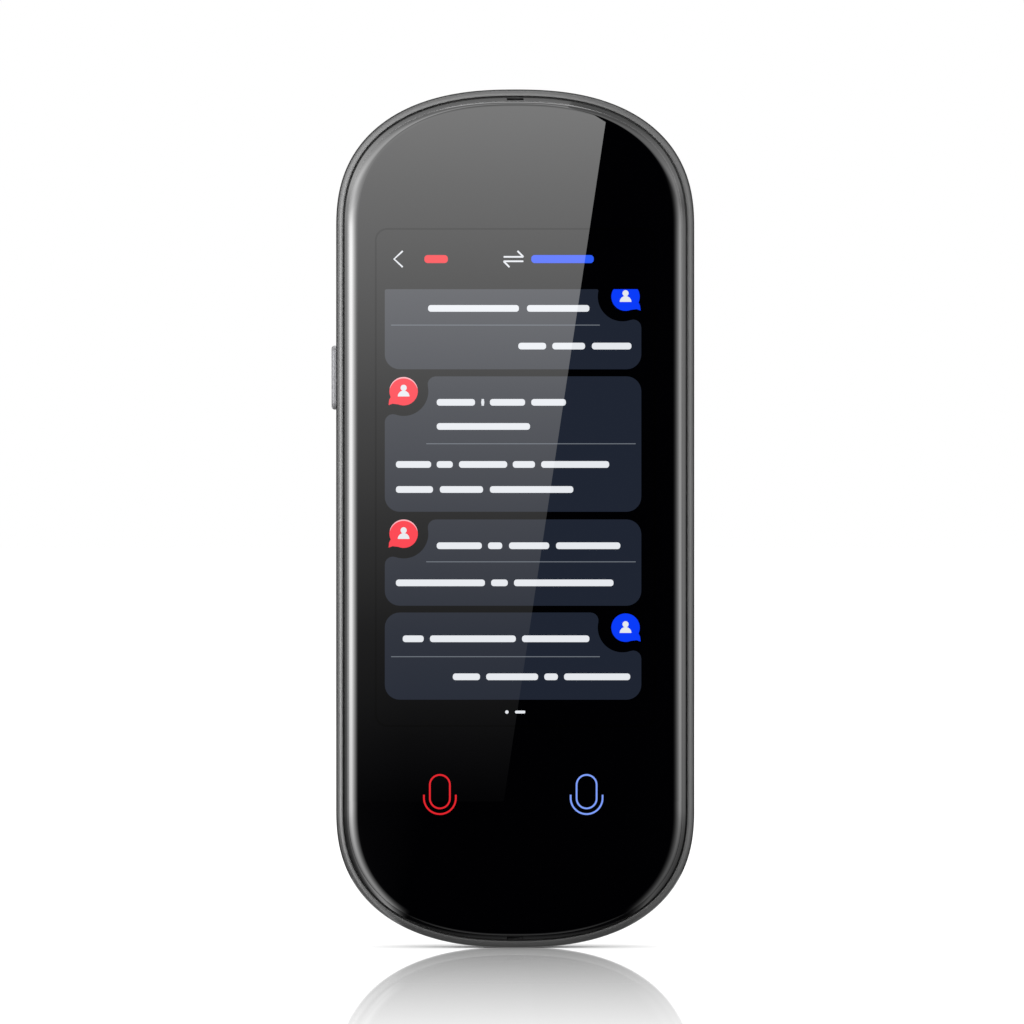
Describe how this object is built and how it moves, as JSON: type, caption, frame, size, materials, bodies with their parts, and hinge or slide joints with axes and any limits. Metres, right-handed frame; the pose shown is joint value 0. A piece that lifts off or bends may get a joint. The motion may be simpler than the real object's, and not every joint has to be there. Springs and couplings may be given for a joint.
{
  "type": "handheld translator",
  "caption": "Pebble-shaped handheld voice translator with a full-face touch screen, two touch talk keys, a side power key, a rear camera and a rear speaker.",
  "frame": {"origin": "middle of the flat back face", "axes": "+Z along the body towards the camera end, +Y out of the back, +X to the right seen from the screen"},
  "size_m": [0.0589, 0.014, 0.139],
  "materials": {
    "case_paint": "satin",
    "frame_paint": "satin",
    "black_bezel": "gloss",
    "cover_glass": "gloss",
    "camera_glass": "gloss",
    "lens_glass": "gloss",
    "black_plastic": "matte",
    "black_rubber": "matte",
    "foam": "matte",
    "circuit_board": "satin",
    "chip_resin": "matte",
    "steel": "satin",
    "alloy": "satin",
    "cell_wrap": "satin",
    "amber_film": "satin",
    "gold_contact": "satin",
    "red_light": "satin",
    "blue_light": "satin",
    "red_wire": "satin",
    "black_wire": "satin",
    "white_panel": "satin"
  },
  "bodies": {
    "housing": {"rear_shell": "case_paint", "mid_frame": "frame_paint", "front_bezel": "black_bezel", "cover_glass": "cover_glass", "glass_gasket": "foam", "touch_sensor": "black_bezel", "display_panel": "black_bezel", "display_backlight": "white_panel", "display_flex": "amber_film", "touch_key_board": "circuit_board", "red_key_light": "red_light", "blue_key_light": "blue_light", "inner_chassis": "alloy", "chassis_screw_1": "steel", "chassis_screw_2": "steel", "chassis_screw_3": "steel", "chassis_screw_4": "steel", "board_screw_1": "steel", "board_screw_2": "steel", "board_screw_3": "steel", "main_board": "circuit_board", "bottom_board": "circuit_board", "processor": "chip_resin", "memory_chip": "chip_resin", "processor_shield": "steel", "radio_shield": "steel", "link_flex": "amber_film", "battery_cell": "cell_wrap", "battery_tape": "foam", "battery_protection_board": "circuit_board", "battery_plug": "white_panel", "battery_lead_positive": "red_wire", "battery_lead_negative": "black_wire", "speaker_mesh": "black_plastic", "speaker_gasket": "foam", "speaker_frame": "black_plastic", "speaker_magnet": "steel", "speaker_contact_left": "gold_contact", "speaker_contact_right": "gold_contact", "camera_trim_ring": "black_bezel", "camera_window": "camera_glass", "lens_barrel": "black_plastic", "camera_lens": "lens_glass", "camera_module": "black_plastic", "side_switch": "steel", "usb_shell": "steel", "usb_tongue": "black_plastic", "top_microphone": "gold_contact", "bottom_microphone": "gold_contact", "top_microphone_boot": "black_rubber", "bottom_microphone_boot": "black_rubber", "antenna_film": "amber_film"},
    "key": {"power_key": "frame_paint", "switch_plunger": "black_plastic"},
    "diaphragm": {"speaker_diaphragm": "black_plastic"}
  },
  "joints": [
    {"name": "power_key_press", "type": "slide", "parent": "housing", "child": "key", "axis": [1, 0, 0], "range_m": [0, 0.0003], "stiffness_N_per_m": 3000},
    {"name": "speaker_diaphragm_drive", "type": "slide", "parent": "housing", "child": "diaphragm", "axis": [0, 1, 0], "range_m": [-0.00025, 0.00025], "stiffness_N_per_m": 1000}
  ]
}
